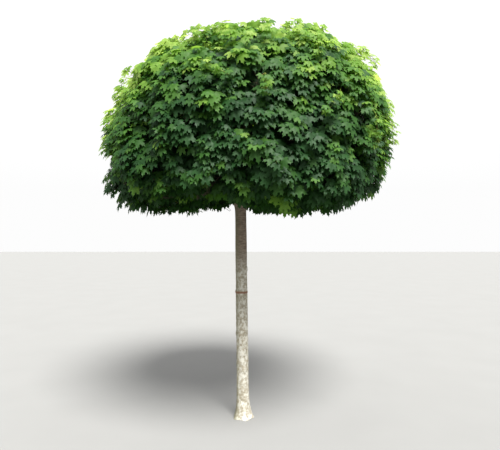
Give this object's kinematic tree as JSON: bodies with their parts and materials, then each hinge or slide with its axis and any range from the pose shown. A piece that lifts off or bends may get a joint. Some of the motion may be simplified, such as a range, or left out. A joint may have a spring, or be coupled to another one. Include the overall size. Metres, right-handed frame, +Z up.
{
  "type": "maple tree",
  "caption": "Top-grafted round-headed maple: clear straight trunk, swollen graft union and a dense dome of hanging lobed leaves",
  "frame": {"origin": "middle of the flat cut under the trunk, on level ground", "axes": "+Z up, +X to the right and +Y away from the eye in the front view; the trunk leans a little towards -X"},
  "size_m": [2.6085, 2.5801, 3.3563],
  "materials": {
    "bark": "rough grey-brown bark",
    "young_bark": "smooth young bark",
    "foliage": "satin leaves"
  },
  "bodies": {
    "root": {"trunk": "bark", "bough_low_1": "young_bark", "bough_low_2": "young_bark", "bough_low_3": "young_bark", "bough_low_4": "young_bark", "bough_low_5": "young_bark", "bough_low_6": "young_bark", "bough_low_7": "young_bark", "bough_high_1": "young_bark", "bough_high_2": "young_bark", "bough_high_3": "young_bark", "bough_high_4": "young_bark", "bough_high_5": "young_bark", "bough_top": "young_bark", "foliage_low_1": "foliage", "foliage_low_2": "foliage", "foliage_low_3": "foliage", "foliage_low_4": "foliage", "foliage_low_5": "foliage", "foliage_low_6": "foliage", "foliage_low_7": "foliage", "foliage_high_1": "foliage", "foliage_high_2": "foliage", "foliage_high_3": "foliage", "foliage_high_4": "foliage", "foliage_high_5": "foliage", "foliage_top": "foliage"}
  },
  "joints": []
}
